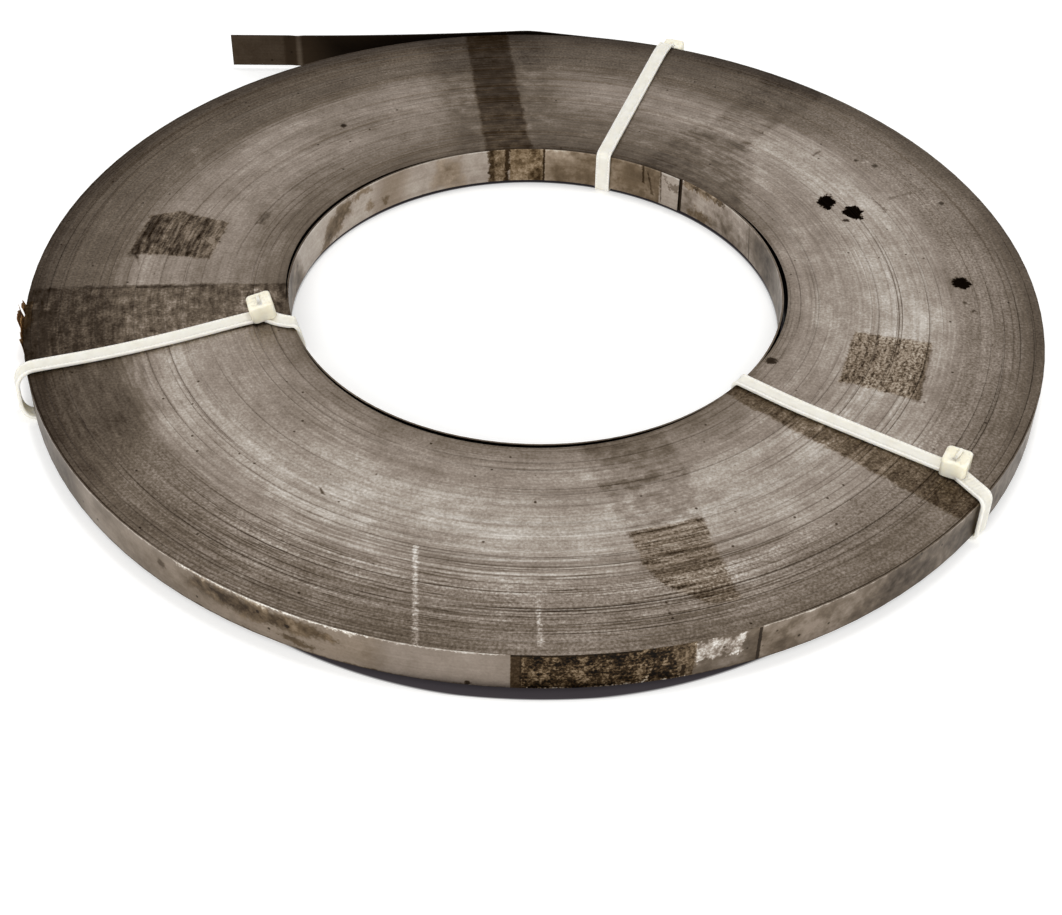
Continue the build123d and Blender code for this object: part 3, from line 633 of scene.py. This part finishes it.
def makeCoil(materials):
    lowCorner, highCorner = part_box("strip_coil")
    bottom, top = lowCorner.z / mm, highCorner.z / mm
    perTurn = coil["perTurn"]
    last = coil["turns"] * perTurn + coil["endSteps"]
    step = np.arange(last + perTurn + 1)
    angle = coil["tailLeave"] - (last - step) * 360 / perTurn
    thickness = (coil["outerRadius"] - coil["boreRadius"]) / (last / perTurn + 1)
    turn = step / perTurn
    edgeRadius = coil["boreRadius"] + thickness * turn  # radius grows by one thickness a turn
    slack = np.clip(1 - (turn - 1) / coil["looseTurns"], 0, 1)
    gap = looseGap(angle) + coil["touchGap"]
    edgeRadius = edgeRadius + np.where(turn >= 1, gap * slack, 0)
    run = step[:last + 1]
    outEdge = edgeRadius[run + perTurn]
    outEdge[:perTurn + 1] = coil["boreRadius"] + thickness * (1 + turn[:perTurn + 1])
    crestRadius = (edgeRadius[run] + outEdge) / 2

    def endFace(level, sign):  # heights of the turns on one end of the coil, below its flat
        sunk = coil["sunk"] + coil["wave"] * wander(last + 1, perTurn // coil["waveKnots"])
        sunk = sunk + coil["bundleWave"] * wander(last + 1, coil["bundleTurns"] * perTurn)
        sunk = np.clip(sunk, 0.0, coil["deepest"])
        opening = wander(last + perTurn + 1, perTurn // coil["openKnots"]) - coil["openFrom"]
        opening = np.clip(opening, 0, coil["openSpan"]) / coil["openSpan"]
        inner = np.concatenate([sunk, sunk[-perTurn:]])
        outer = np.concatenate([sunk[:perTurn], sunk])
        groove = np.maximum(inner, outer) + coil["groove"] + coil["openGroove"] * opening
        tone = wander(last + 1, perTurn // coil["toneKnots"])
        tone = tone + coil["turnTone"] * wander(last + 1, perTurn)
        toneIn = np.concatenate([tone, tone[-perTurn:]])
        toneOut = np.concatenate([tone[:perTurn], tone])
        edge = np.concatenate([polar(edgeRadius, angle), (level - sign * groove)[:, None]], 1)
        crest = np.concatenate([polar(crestRadius, angle[run]), (level - sign * sunk)[:, None]], 1)
        freeHeight = level - sign * (sunk[:perTurn + 1] + coil["groove"])
        free = np.concatenate([polar(outEdge, angle[run])[:perTurn + 1], freeHeight[:, None]], 1)
        free[-1] = edge[2 * perTurn]
        points = np.concatenate([edge, crest, free])
        edgeIndex, crestIndex = step, len(step) + run
        outIndex = run + perTurn
        outIndex[:perTurn] = len(step) + len(run) + run[:perTurn]
        low, high = slice(0, last), slice(1, last + 1)
        inside = np.stack([edgeIndex[run][low], crestIndex[low], crestIndex[high], edgeIndex[run][high]], -1)
        highOut = outIndex[high].copy()
        highOut[perTurn - 1] = 2 * perTurn
        outside = np.stack([crestIndex[low], outIndex[low], highOut, crestIndex[high]], -1)
        faces = np.concatenate([inside, outside])
        radii = np.linalg.norm(points[:, :2], axis=1)
        angles = np.degrees(np.arctan2(points[:, 1], points[:, 0]))
        scuff = scuffShare(radii, angles)
        turnTone = np.concatenate([(toneIn + toneOut) / 2, tone, tone[:perTurn + 1]])
        turnTone = turnTone * (coil["leastTone"] + scuff)
        gapDirt = smoothStep(0, coil["dirtFull"], opening)
        gapDirt = np.concatenate([gapDirt, np.zeros(len(points) - len(gapDirt))])
        gapDirt = gapDirt * (coil["leastDirt"] + scuff)
        rimJoint = coil["rimDirt"] * sum(window(angle, *joint) for joint in coil["rimJoints"])
        outermost = slice(last - perTurn, last)
        gapDirt[outermost] = np.maximum(gapDirt[outermost], rimJoint[outermost])
        part = {"points": points, "faces": (faces if sign > 0 else faces[:, ::-1]).tolist(), "slot": 0,
                "attributes": {"turnTone": turnTone, "gapDirt": gapDirt, "scuff": scuff,
                               "shade": endShade(radii, angles)}}
        return part, edge, crest, free

    topPart, topEdge, topCrest, topFree = endFace(top, 1)
    bottomPart, bottomEdge, bottomCrest, bottomFree = endFace(bottom, -1)
    share = np.array(coil["levels"])[None, :, None]

    def wall(low, high):  # straight faces between a lower and an upper line of points
        return low[:, None, :] * (1 - share) + high[:, None, :] * share

    bore = wall(bottomEdge[:2 * perTurn + 1], topEdge[:2 * perTurn + 1])
    free = wall(bottomFree, topFree)
    outer = wall(bottomEdge[last:], topEdge[last:])
    innerEnd = np.concatenate([bore[0], topCrest[:1], free[0, ::-1], bottomCrest[:1]])

    # the tail's heading turns at the bend and the crease and bows between; its line is the sum of small steps
    length = tail["firstRun"] + tail["middleRun"] + tail["endRun"]
    along = np.linspace(0, length, tail["steps"] + 1)
    bendAt, creaseAt = tail["firstRun"], tail["firstRun"] + tail["middleRun"]
    bowTurn = math.degrees(4 * tail["bow"] / tail["middleRun"])
    middleShare = (along - bendAt) / tail["middleRun"]
    bowing = bowTurn * (1 - 2 * middleShare) * ((middleShare > 0) & (middleShare < 1))
    heading = coil["tailLeave"] + 90 + bowing
    for key, at in (("bend", bendAt), ("crease", creaseAt)):
        reach = tail[key + "Length"]
        heading = heading + tail[key + "Turn"] * smoothStep(at - reach, at + reach, along)
    pace = polar(np.full(len(along), length / tail["steps"]), heading)
    start = polar(np.array([coil["outerRadius"]]), np.array([coil["tailLeave"]]))
    line = start + np.concatenate([[[0, 0]], np.cumsum((pace[1:] + pace[:-1]) / 2, 0)])
    inwards = polar(np.ones(len(along)), heading + 90)
    kink = tail["creaseBump"] * np.exp(-((along - creaseAt) / tail["creaseLength"]) ** 2)
    line = line + inwards * kink[:, None]
    side = np.array([1.0] * len(coil["levels"]) + [0.5] + [0.0] * len(coil["levels"]) + [0.5]) * thickness
    flat = line[:, None, :] + inwards[:, None, :] * side[None, :, None]
    startRing = np.concatenate([outer[0], topCrest[-1:], outer[-1, ::-1], bottomCrest[-1:]])
    height = np.broadcast_to(startRing[None, :, 2:], (*flat.shape[:2], 1))
    tailGrid = np.concatenate([flat, height], -1)
    tailGrid[0] = startRing

    # the faces within the loose gap take the tail's dark steel, blackened there as painted shade
    parts = [topPart, bottomPart, sheet(bore[:perTurn + 1], slot=2), sheet(bore[perTurn:], slot=3),
             sheet(free, slot=3, flip=True), sheet(outer, slot=1, flip=True),
             cap(innerEnd, slot=2, flip=True), sheet(tailGrid, slot=3, wrapColumns=True),
             cap(tailGrid[-1], slot=3)]
    attributeNames = ("turnTone", "gapDirt", "scuff", "shade")
    piece = makePiece("steel_strip_coil", parts, materials, coil["crease"], attributeNames)
    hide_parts("strip_coil")


broadFaces = [  # name, tone of its clean steel, radius that its stains are laid on, stains
    ("rolled_steel_outer_face", 0.53, coil["outerRadius"], outerStains),
    ("rolled_steel_bore_face", 0.61, coil["boreRadius"], boreStains),
    # the tail's low tone is painted dark reflection on its oily face
    ("rolled_steel_tail_face", 0.25, coil["outerRadius"], tailStains),
]
faceMaterials = [rolledSteel(*face) for face in broadFaces]
makeCoil([slitEdgeSteel(), *faceMaterials])


# Nylon cable ties
strapLook = {"width": 4.8, "thickness": 1.2, "rim": 0.65, "channel": 0.2, "slope": 0.1, "edge": 0.16,
             "pitch": 1.1, "tooth": 0.07, "sample": 0.28,  # mm
             "cornerSteps": 13}
headLook = {"length": 7.4, "width": 7.4, "height": 5.8, "corner": 1.2, "edge": 0.6,
            "footHeight": 0.3, "footInset": 0.25, "slotLength": 1.2, "slotWidth": 4.8, "slotDepth": 0.16,
            "slotCorner": 0.3, "lipHeight": 0.15, "lipWidth": 0.25, "lipCorner": 0.4, "wallGap": 0.2,  # mm
            "cornerSteps": 6, "edgeSteps": 5}
tieCrease = 60  # degrees up to which faces are shaded smooth
loopTop, loopLow = 14.9, 0.6  # heights of the strap's middle above and below the coil
ties = [
    {"node": "cable_tie_left", "angle": -161.7, "head": (84.3, -5.6), "turn": -2.0, "lean": 12.0,
     "snip": -0.25, "teeth": (0, 0),
     # outward, sideways, height, rounding; from the head round the coil and back up through the head
     "route": [
         (84.3, -5.6, loopTop, 0), (92, -4.8, loopTop, 4), (112, -2.0, loopTop, 9), (132, -0.2, loopTop, 9),
         (159.0, 0.0, loopTop, 6), (159.0, 4.6, loopLow, 6), (145, 4.4, loopLow, 5), (84, 1.2, loopLow, 5),
         (75.3, 1.0, loopLow, 1.6), (74.1, 1.4, 7.5, 2.4), (76.0, 0.9, loopTop, 1.2),
         (80.4, -1.6, loopTop, 2), (84.3, -5.5, loopTop, 1.2), (85.5, -5.5, 20.85, 0)]},
    {"node": "cable_tie_right", "angle": -37.8, "head": (144.2, 5.2), "turn": 12.0, "lean": 0.0,
     "snip": 0.25, "teeth": (2, 22),
     "route": [
         (144.2, 5.2, loopTop, 0), (148.0, 3.7, loopTop, 2), (157.0, 0.6, loopTop, 2.6),
         (157.0, 0.8, loopLow, 2.2), (145, 0.4, loopLow, 5), (84, 0, loopLow, 5),
         (75.7, 0, loopLow, 1.6), (75.7, 0, loopTop, 1.8),
         (95, 0.3, loopTop, 8), (118, 2.4, loopTop, 8), (140.5, 4.6, loopTop, 2), (144.2, 5.2, loopTop, 1.2),
         (144.2, 5.2, 20.4, 0)]},
    {"node": "cable_tie_back", "angle": 72.8, "head": None, "wallHead": (10.6, -2.6),
     "snip": 0.2, "teeth": (0, 0),
     "route": [
         (156.8, -2.4, 10.6, 0), (156.8, -1.2, loopLow, 1.6), (145, 0, loopLow, 5), (84, 0, loopLow, 5),
         (75.4, 0, loopLow, 1.6), (75.4, 0, loopTop, 1.8), (150, 0, loopTop, 4), (156.9, -0.6, loopTop, 1.8),
         (156.9, -2.4, 10.6, 1.2), (163.2, -2.6, 10.6, 0)]},
]


def roundedRoute(route, sample):  # straight runs, each corner a parabola between tangent points, resampled
    route = np.array(route, float)
    places, rounding = route[:, :3], route[:, 3]
    ahead = np.diff(places, axis=0)
    ahead /= np.linalg.norm(ahead, axis=1)[:, None]
    share = np.linspace(0, 1, strapLook["cornerSteps"])[None, :, None]
    middle, radius = places[1:-1, None, :], rounding[1:-1, None, None]
    before, after = middle - ahead[:-1, None, :] * radius, middle + ahead[1:, None, :] * radius
    corners = before * (1 - share) ** 2 + 2 * middle * share * (1 - share) + after * share ** 2
    rough = np.concatenate([places[:1], corners.reshape(-1, 3), places[-1:]])
    gone = np.concatenate([[0], np.cumsum(np.linalg.norm(np.diff(rough, axis=0), axis=1))])
    even = np.linspace(0, gone[-1], int(gone[-1] / sample) + 1)
    return np.stack([np.interp(even, gone, rough[:, k]) for k in range(3)], -1), even


def strapProfile():  # half of the section from the channel's middle round to the back, then its mirror image
    half, deep = strapLook["width"] / 2, strapLook["thickness"] / 2
    rim, floor = half - strapLook["rim"], deep - strapLook["channel"]
    slope, edge = strapLook["slope"], strapLook["edge"]
    right = np.array([(rim * 0.5, floor), (rim - slope, floor), (rim + slope, deep), (half - edge, deep),
                      (half, deep - edge), (half, edge - deep), (half - edge, -deep), (rim * 0.5, -deep)])
    return np.concatenate([right, right[::-1] * [-1, 1]])


def sweptStrap(tie):  # the profile carried along the route, with shallow teeth across the channel
    line, gone = roundedRoute(tie["route"], strapLook["sample"])
    ahead = np.gradient(line, axis=0)
    ahead /= np.linalg.norm(ahead, axis=1)[:, None]
    across = np.array([0, 1.0, 0]) - ahead * ahead[:, 1:2]
    across /= np.linalg.norm(across, axis=1)[:, None]
    outward = np.cross(ahead, across)
    profile = strapProfile()
    inChannel = (profile[:, 1] > 0) & (np.abs(profile[:, 0]) < strapLook["width"] / 2 - strapLook["rim"])
    first, last = tie["teeth"]
    tooth = strapLook["tooth"] * np.sin(2 * np.pi * gone / strapLook["pitch"])
    tooth = tooth * ((gone > first) & (gone < last))
    lift = profile[None, :, 1] + tooth[:, None] * inChannel[None, :]
    grid = line[:, None, :] + across[:, None, :] * profile[None, :, :1]
    grid = grid + outward[:, None, :] * lift[..., None]
    grid[-1] += ahead[-1] * profile[:, :1] * tie["snip"]  # the end is cut at a slant
    across = np.broadcast_to(profile[None, :, 0], grid.shape[:2])
    along = np.broadcast_to(gone[:, None], grid.shape[:2])
    return grid, {"strapAlong": along.reshape(-1), "strapAcross": across.reshape(-1)}


def headRing(halfLength, halfWidth, corner):  # a rectangle with round corners
    steps = headLook["cornerSteps"]
    quarter = np.arange(4)[:, None] * 90 + np.linspace(0, 90, steps)[None, :]
    arcs = polar(np.full(quarter.shape, corner), quarter)
    middles = np.array([(1, 1), (-1, 1), (-1, -1), (1, -1)]) * [halfLength - corner, halfWidth - corner]
    return (arcs + middles[:, None, :]).reshape(-1, 2)


def ratchetHead():  # rings stacked from the foot up the sides, over the rounded top and down into the slot
    look = headLook
    length, width, height = look["length"] / 2, look["width"] / 2, look["height"]
    corner, edge, inset, lip = look["corner"], look["edge"], look["footInset"], look["lipWidth"]
    slotLength, slotWidth, slotCorner = look["slotLength"] / 2, look["slotWidth"] / 2, look["slotCorner"]
    stations = [(0.0, length - inset, width - inset, corner), (look["footHeight"], length, width, corner)]
    for turn in np.radians(np.linspace(0, 90, look["edgeSteps"])):
        back = edge * math.cos(turn) - edge
        stations.append((height - edge + edge * math.sin(turn), length + back, width + back, corner))
    stations += [(height, slotLength + lip, slotWidth + lip, look["lipCorner"]),
                 (height - look["lipHeight"], slotLength, slotWidth, slotCorner),
                 (height - look["slotDepth"], slotLength, slotWidth, slotCorner)]
    rings = []
    for z, halfLength, halfWidth, radius in stations:
        ring = headRing(halfLength, halfWidth, radius)
        rings.append(np.concatenate([ring, np.full((len(ring), 1), z)], 1))
    return np.array(rings)


def turned(points, angle):  # turns points about the Z axis
    c, s = math.cos(math.radians(angle)), math.sin(math.radians(angle))
    return points @ np.array([[c, s, 0], [-s, c, 0], [0, 0, 1]])


def makeTie(tie, materials):
    strap, strapMarks = sweptStrap(tie)
    head = ratchetHead()
    if tie["head"]:
        tip, lean = headLook["length"] / 2, math.radians(tie["lean"])
        # leans out over its foot's outer edge
        outward = head[..., 0] * math.cos(lean) + head[..., 2] * math.sin(lean)
        height = head[..., 2] * math.cos(lean) - head[..., 0] * math.sin(lean) + tip * math.sin(lean)
        head = np.stack([outward, head[..., 1], height], -1)
        head = turned(head, tie["turn"]) + [*tie["head"], loopTop - strapLook["thickness"] / 2]
    else:
        height, aside = tie["wallHead"]
        outward = head[..., 2] + coil["outerRadius"] + headLook["wallGap"]
        head = np.stack([outward, aside + head[..., 1], height - head[..., 0]], -1)
    strap, head = turned(strap, tie["angle"]), turned(head, tie["angle"])
    inHead = int(headLook["height"] / strapLook["sample"])  # the strap's last rows take the head's colour
    shown = strap[:-inHead]
    marks = {key: values[:shown.shape[0] * shown.shape[1]] for key, values in strapMarks.items()}
    parts = [sheet(shown, 0, marks, wrapColumns=True, flip=True),
             sheet(strap[-inHead - 1:], slot=1, wrapColumns=True, flip=True),
             cap(strap[0], slot=0), cap(strap[-1], slot=1, flip=True),
             sheet(head, slot=1, wrapColumns=True, flip=True),
             cap(head[0], slot=1, flip=True), cap(head[-1], slot=1)]
    pieceName = tie["node"].replace("cable_tie", "nylon_tie")
    piece = makePiece(pieceName, parts, materials, tieCrease, ("strapAlong", "strapAcross"))
    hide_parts(tie["node"])


nylonLook = {
    "strap": ("#efe9da", "#faf5e8"), "head": ("#f1e8cf", "#fbf5e2"), "colourSpan": (0.3, 0.7),
    # grey for the dotted lines, and as grime and painted shade on the heads' upward faces and in the straps'
    # channel
    "grimeAndShade": "#b9b2a0",
    "cloudSize": 3.0, "scuffSize": 0.5, "grimeAndShadeSize": 1.1,  # mm
    "cloudDetail": 3.0, "scuffDetail": 2.0, "grimeAndShadeDetail": 3.0,
    "grimeAndShadeSpan": (0.52, 0.74), "grimeAndShadeDepth": 0.4,  # noise where grime and painted shade start and are thickest
    # the channel's grey is painted shade in the strap's recess
    "dotLine": 1.95, "dotWidth": 0.16, "dotDepth": 0.3, "channelShadeDepth": 0.16, "channelFade": 0.3,
    "bumpStrength": 0.25, "bumpHeight": 0.05,
    "shader": {"Roughness": 0.42, "IOR": 1.53, "Subsurface Weight": 0.6,
               "Subsurface Radius": (1.0, 0.95, 0.8), "Subsurface Scale": 0.0025},
}


def nylon(name, colours, grimedAndShaded):
    # injection-moulded natural nylon: milky, light passes into it, soft gloss, warmer where it is thick; the
    # straps carry a fine dotted line along both rails and painted shade in their channel, the heads a little
    # grime and painted shade on their upward faces
    look = nylonLook
    material, tree, shader = startMaterial(name, look["shader"])
    place = put(tree, "TexCoord", {}, "Object")
    solid = put(tree, "VectorMath", {0: place, 1: inMm}, operation="MULTIPLY")
    noises = {}
    for key in ("cloud", "scuff", "grimeAndShade") if grimedAndShaded else ("cloud", "scuff"):
        settings = {"Vector": solid, "Scale": 1 / look[key + "Size"], "Detail": look[key + "Detail"]}
        noises[key] = put(tree, "TexNoise", settings)
    stops = list(zip(look["colourSpan"], colours))
    colour = fillRamp(put(tree, "ValToRGB", {0: noises["cloud"]}), stops)
    if grimedAndShaded:
        normal = put(tree, "NewGeometry", {}, "Normal")
        up = put(tree, "SeparateXYZ", {0: normal}, "Z")
        start, thickest = look["grimeAndShadeSpan"]
        share = put(tree, "MapRange", {0: noises["grimeAndShade"], 1: start, 2: thickest,
                                       3: 0.0, 4: look["grimeAndShadeDepth"]})
        # grime and painted shade on the heads' upward faces
        mask = put(tree, "Math", {0: share, 1: up}, operation="MULTIPLY", use_clamp=True)
    else:
        along = put(tree, "Attribute", {}, "Fac", attribute_name="strapAlong")
        across = put(tree, "Attribute", {}, "Fac", attribute_name="strapAcross")
        turn = put(tree, "Math", {0: along, 1: 2 * math.pi / strapLook["pitch"]}, operation="MULTIPLY")
        wave = put(tree, "Math", {0: turn}, operation="SINE")
        crest = put(tree, "Math", {0: wave, 1: 0.0}, operation="GREATER_THAN")
        side = put(tree, "Math", {0: across}, operation="ABSOLUTE")
        onLine = put(tree, "Math", {0: side, 1: look["dotLine"], 2: look["dotWidth"]}, operation="COMPARE")
        dots = put(tree, "Math", {0: crest, 1: onLine}, operation="MULTIPLY")
        inner = strapLook["width"] / 2 - strapLook["rim"]
        # painted shade in the strap's channel
        channel = put(tree, "MapRange", {0: side, 1: inner, 2: inner - look["channelFade"],
                                         3: 0.0, 4: look["channelShadeDepth"]})
        mask = put(tree, "Math", {0: dots, 1: look["dotDepth"], 2: channel}, operation="MULTIPLY_ADD")
    grimeAndShade = linear(look["grimeAndShade"])
    colour = put(tree, "Mix", {"Factor": mask, "A": colour, "B": grimeAndShade}, "Result", data_type="RGBA")
    tree.links.new(colour, shader.inputs["Base Color"])
    bump = put(tree, "Bump", {"Height": noises["scuff"], "Strength": look["bumpStrength"],
                              "Distance": look["bumpHeight"] * mm})
    tree.links.new(bump, shader.inputs["Normal"])
    return material


strapNylon = nylon("nylon_strap", nylonLook["strap"], grimedAndShaded=False)
headNylon = nylon("nylon_head", nylonLook["head"], grimedAndShaded=True)
for tie in ties:
    makeTie(tie, [strapNylon, headNylon])


# Torn scraps of brown tape on the left rim
scrap = {"alongSteps": 22, "acrossSteps": 12, "knotSteps": 4, "torn": 0.14, "crumple": 0.12,
         "thickness": 0.07, "crease": 60, "roughness": 0.55,
         "fibresPerMm": 0.55, "fibreDetail": 5.0, "fibreRoughness": 0.7,
         "colours": [(0.36, "#3f2415"), (0.52, "#8a6236"), (0.72, "#c9a56b")]}
# a strip on the wall, a flap standing off it and a tuft: angles in degrees, radius and height in mm
scrapFlaps = [
    {"angles": (-171.8, -167.2), "start": (156.1, 2.6), "end": (156.9, 14.0), "curl": 0.2},
    {"angles": (-173.5, -170.9), "start": (156.1, 7.4), "end": (158.0, 14.4), "curl": -0.4},
    {"angles": (-174.3, -172.6), "start": (156.0, 8.6), "end": (156.9, 15.3), "curl": 0.3},
]


def makeScrap():
    # each flap goes straight from its start to its torn end, with a bulge of half a sine wave and a crumple
    steps, knots = (scrap["alongSteps"], scrap["acrossSteps"]), scrap["knotSteps"]
    u, v = np.meshgrid(*[np.linspace(0, 1, count) for count in steps], indexing="ij")
    parts = []
    for flap in scrapFlaps:
        start, end = np.array(flap["start"]), np.array(flap["end"])
        across = (end - start)[::-1] * [-1, 1] / np.linalg.norm(end - start)
        torn = 1 - scrap["torn"] * np.abs(wander(scrap["alongSteps"], knots))[:, None]
        crumple = scrap["crumple"] * np.abs(wander(u.size, knots).reshape(u.shape)) * v
        bulge = flap["curl"] * np.sin(np.pi * v) + crumple
        place = start + (end - start) * (v * torn)[..., None] + across * bulge[..., None]
        angle = flap["angles"][0] + (flap["angles"][1] - flap["angles"][0]) * u
        grid = np.concatenate([polar(place[..., 0], angle), place[..., 1:]], -1)
        parts.append(sheet(grid, flip=True))
    # brown paper tape, torn: matt, its fibres lighter where they are laid bare
    material, tree, shader = startMaterial("brown_paper_tape", {"Roughness": scrap["roughness"]})
    place = put(tree, "TexCoord", {}, "Object")
    solid = put(tree, "VectorMath", {0: place, 1: inMm}, operation="MULTIPLY")
    fibres = put(tree, "TexNoise", {"Vector": solid, "Scale": scrap["fibresPerMm"],
                                    "Detail": scrap["fibreDetail"], "Roughness": scrap["fibreRoughness"]})
    colour = fillRamp(put(tree, "ValToRGB", {0: fibres}), scrap["colours"])
    tree.links.new(colour, shader.inputs["Base Color"])
    piece = makePiece("tape_scrap", parts, [material], scrap["crease"])
    solidify = piece.modifiers.new("tape thickness", "SOLIDIFY")
    solidify.thickness = scrap["thickness"] * mm
    solidify.offset = 1.0


makeScrap()


# Floor, light and camera
stage = {"floor": 3.0, "floorColour": "#f6f6f5", "floorGlow": 0.26, "worldLight": 0.6,
         # painted shadow on the floor under the coil and just in front of it, in mm: from the bore out to
         # this radius at the sides and at the front
         "underBore": 77.0, "underRim": (154.2, 158.2), "underFront": (-140, -157), "underSoft": 0.4,
         "paintedShadowColour": "#4c474b"}
lamps = [  # name, place and aim in metres, size in metres, watts, and whether the metal mirrors it
    ("key_lamp", (0.1, 0.3, 1.9), (0, 0, 0), 0.3, 8.0, False),
    ("front_fill", (-0.2, -1.6, 0.8), (0, 0, 0), 0.8, 17.0, False),
    ("back_softbox", (-0.15, 0.9, 1.0), (0, 0, 0), 1.3, 0.9, True),
]
photoCamera = {"place": (-0.087, -461.136, 352.752), "tilt": 41.797, "roll": 1.280,  # mm, degrees
               "lens": 62.01, "sensor": 36.0}


def seenBackground(tree):  # 1 for rays that come from the camera or off metal and clear plastic
    rays = put(tree, "LightPath", {}).node.outputs
    both = put(tree, "Math", {0: rays["Is Camera Ray"], 1: rays["Is Glossy Ray"]}, operation="MAXIMUM")
    return put(tree, "Math", {0: both, 1: rays["Is Transmission Ray"]}, operation="MAXIMUM")


def makeStage():
    half = stage["floor"]
    mesh = bpy.data.meshes.new("floor")
    corners = [(-half, -half, 0), (half, -half, 0), (half, half, 0), (-half, half, 0)]
    mesh.from_pydata(corners, [], [(0, 1, 2, 3)])
    floor = bpy.data.objects.new("floor", mesh)
    bpy.context.scene.collection.objects.link(floor)
    material, tree, shader = startMaterial("white_table", {"Roughness": 0.9, "Specular IOR Level": 0.1,
                                                           "Emission Color": (1, 1, 1, 1)})
    place = put(tree, "TexCoord", {}, "Object")
    place = put(tree, "VectorMath", {0: place, 1: flatInMm}, operation="MULTIPLY")
    radius = put(tree, "VectorMath", {0: place}, "Value", operation="LENGTH")
    # painted shadow: under the coil and in a band at its front the floor takes a dark colour and loses its
    # glow
    (sides, front), (sideRim, frontRim) = stage["underFront"], stage["underRim"]
    soft = stage["underSoft"]
    forward = put(tree, "SeparateXYZ", {0: place}, "Y")
    rim = put(tree, "MapRange", {0: forward, 1: sides, 2: front, 3: sideRim, 4: frontRim})
    outside = put(tree, "Math", {0: radius, 1: rim}, operation="SUBTRACT")
    inside = put(tree, "Math", {0: stage["underBore"], 1: radius}, operation="SUBTRACT")
    away = put(tree, "Math", {0: outside, 1: inside}, operation="MAXIMUM")
    border = {0: away, 1: -soft, 2: soft, 3: 0.0, 4: 1.0}
    openness = put(tree, "MapRange", border, interpolation_type="SMOOTHSTEP")
    colours = {"A": linear(stage["paintedShadowColour"]), "B": linear(stage["floorColour"])}
    colour = put(tree, "Mix", {"Factor": openness, **colours}, "Result", data_type="RGBA")
    tree.links.new(colour, shader.inputs["Base Color"])
    glow = put(tree, "Math", {0: seenBackground(tree), 1: stage["floorGlow"]}, operation="MULTIPLY")
    glow = put(tree, "Math", {0: glow, 1: openness}, operation="MULTIPLY")
    tree.links.new(glow, shader.inputs["Emission Strength"])
    mesh.materials.append(material)
    world = bpy.data.worlds.new("white_room")
    world.use_nodes = True
    tree = world.node_tree
    light = put(tree, "MapRange", {0: seenBackground(tree), 1: 0.0, 2: 1.0, 3: stage["worldLight"], 4: 1.0})
    background = tree.nodes["Background"]
    background.inputs["Color"].default_value = (1, 1, 1, 1)
    tree.links.new(light, background.inputs["Strength"])
    bpy.context.scene.world = world
    for name, place, aim, size, watts, mirrored in lamps:
        lamp = bpy.data.lights.new(name, "AREA")
        lamp.size, lamp.energy = size, watts
        holder = bpy.data.objects.new(name, lamp)
        holder.location = place
        holder.visible_glossy = mirrored
        holder.rotation_euler = (Vector(aim) - Vector(place)).to_track_quat("-Z", "Y").to_euler()
        bpy.context.scene.collection.objects.link(holder)


def makeCamera():
    lens = bpy.data.cameras.new("camera")
    lens.lens, lens.sensor_width = photoCamera["lens"], photoCamera["sensor"]
    camera = bpy.data.objects.new("camera", lens)
    place = Matrix.Translation(Vector(photoCamera["place"]) * mm)
    tilt = Matrix.Rotation(math.radians(90 - photoCamera["tilt"]), 4, "X")
    roll = Matrix.Rotation(math.radians(photoCamera["roll"]), 4, "Z")
    camera.matrix_world = place @ tilt @ roll
    bpy.context.scene.collection.objects.link(camera)
    bpy.context.scene.camera = camera


makeStage()
makeCamera()
bpy.context.scene.view_settings.view_transform = "Standard"
print("stage: floor, lamps and camera placed")
